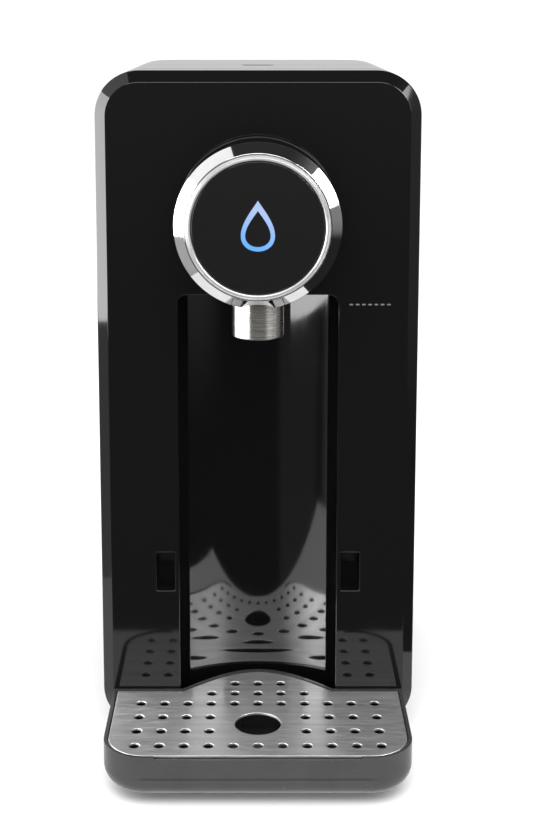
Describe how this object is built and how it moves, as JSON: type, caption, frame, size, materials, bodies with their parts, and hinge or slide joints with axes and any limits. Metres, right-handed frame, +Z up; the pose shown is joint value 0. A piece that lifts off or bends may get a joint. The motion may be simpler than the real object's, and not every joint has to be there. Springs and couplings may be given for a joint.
{
  "type": "countertop water dispenser",
  "caption": "Tall gloss black countertop water dispenser with a round chrome control head, spout, cup niche, hooked perforated drip tray and lift-out rear tank.",
  "frame": {"origin": "centre of the footprint box on the counter, under the middle of the object", "axes": "+Z up, front towards -Y, +X to the right seen from the front"},
  "size_m": [0.165, 0.2574, 0.3535],
  "materials": {
    "body_gloss": "high gloss moulded black",
    "niche_gloss": "high gloss black liner",
    "disc_gloss": "high gloss black button face",
    "satin": "fine satin black",
    "tray_plastic": "semi-gloss dark grey",
    "rubber": "soft black rubber",
    "chrome": "polished plating",
    "nozzle_steel": "turned and brushed",
    "grid_steel": "brushed sheet, punched",
    "screw": "zinc plated steel",
    "spring": "drawn spring wire",
    "motor": "plated motor can",
    "bracket": "folded sheet",
    "heater": "cast and machined",
    "thermostat": "ceramic-like white",
    "white": "natural white acetal",
    "board": "green solder mask",
    "component": "moulded component bodies",
    "hose": "translucent silicone",
    "tank_smoke": "smoked clear plastic",
    "drop_glow": "clear light guide, lit blue-white; emissive"
  },
  "bodies": {
    "cabinet": {"front_panel": "body_gloss", "body_shell": "body_gloss", "base_plate": "satin", "rear_cover": "satin", "cover_screw_1": "screw", "cover_screw_2": "screw", "cover_screw_3": "screw", "cover_screw_4": "screw", "cord_gland": "rubber", "body_foot_front_left": "rubber", "body_foot_rear_left": "rubber", "body_foot_front_right": "rubber", "body_foot_rear_right": "rubber", "niche_liner": "niche_gloss", "tank_cradle": "satin", "cradle_pin": "white", "pump_body": "white", "pump_motor": "motor", "flow_meter": "white", "heater_block": "heater", "heater_bracket": "bracket", "heater_thermostat": "thermostat", "control_board": "board", "relay": "component", "capacitor": "component", "hose_tank_pump": "hose", "hose_pump_meter": "hose", "hose_meter_heater": "hose", "hose_heater_spout": "hose", "head_collar": "satin", "head_band": "chrome", "head_housing": "satin", "ring_bearing": "white", "nozzle": "nozzle_steel", "nozzle_insert": "satin", "outlet_elbow": "white", "light_board": "board", "tact_switch": "component"},
    "dial": {"dial_ring": "chrome"},
    "button": {"touch_disc": "disc_gloss", "drop_light": "drop_glow", "button_spring": "spring"},
    "tank": {"water_tank": "tank_smoke", "tank_valve": "white", "tank_valve_spring": "spring", "tank_seal": "rubber", "tank_strainer": "white", "lid_pin": "screw"},
    "lid": {"tank_lid": "body_gloss"},
    "drip_tray": {"drip_tray": "tray_plastic", "tray_foot_left": "rubber", "tray_foot_right": "rubber"},
    "drip_grid": {"drip_grid": "grid_steel"}
  },
  "joints": [
    {"name": "dial_turn", "type": "hinge", "parent": "cabinet", "child": "dial", "pos_m": [0, -0.09585, 0.2802], "axis": [0, 1, 0], "range_deg": [-135, 135]},
    {"name": "button_press", "type": "slide", "parent": "cabinet", "child": "button", "axis": [0, 1, 0], "range_m": [0, 0.0018], "stiffness_N_per_m": 300, "deforming": ["button_spring"]},
    {"name": "tank_lift", "type": "slide", "parent": "cabinet", "child": "tank", "axis": [0, 0, 1], "range_m": [0, 0.12]},
    {"name": "lid_hinge", "type": "hinge", "parent": "tank", "child": "lid", "pos_m": [0, 0.12415, 0.3337], "axis": [-1, 0, 0], "range_deg": [0, 80]},
    {"name": "tray_slide", "type": "slide", "parent": "cabinet", "child": "drip_tray", "axis": [0, -1, 0], "range_m": [0, 0.1]},
    {"name": "grid_lift", "type": "slide", "parent": "drip_tray", "child": "drip_grid", "axis": [0, 0, 1], "range_m": [0, 0.05]}
  ]
}
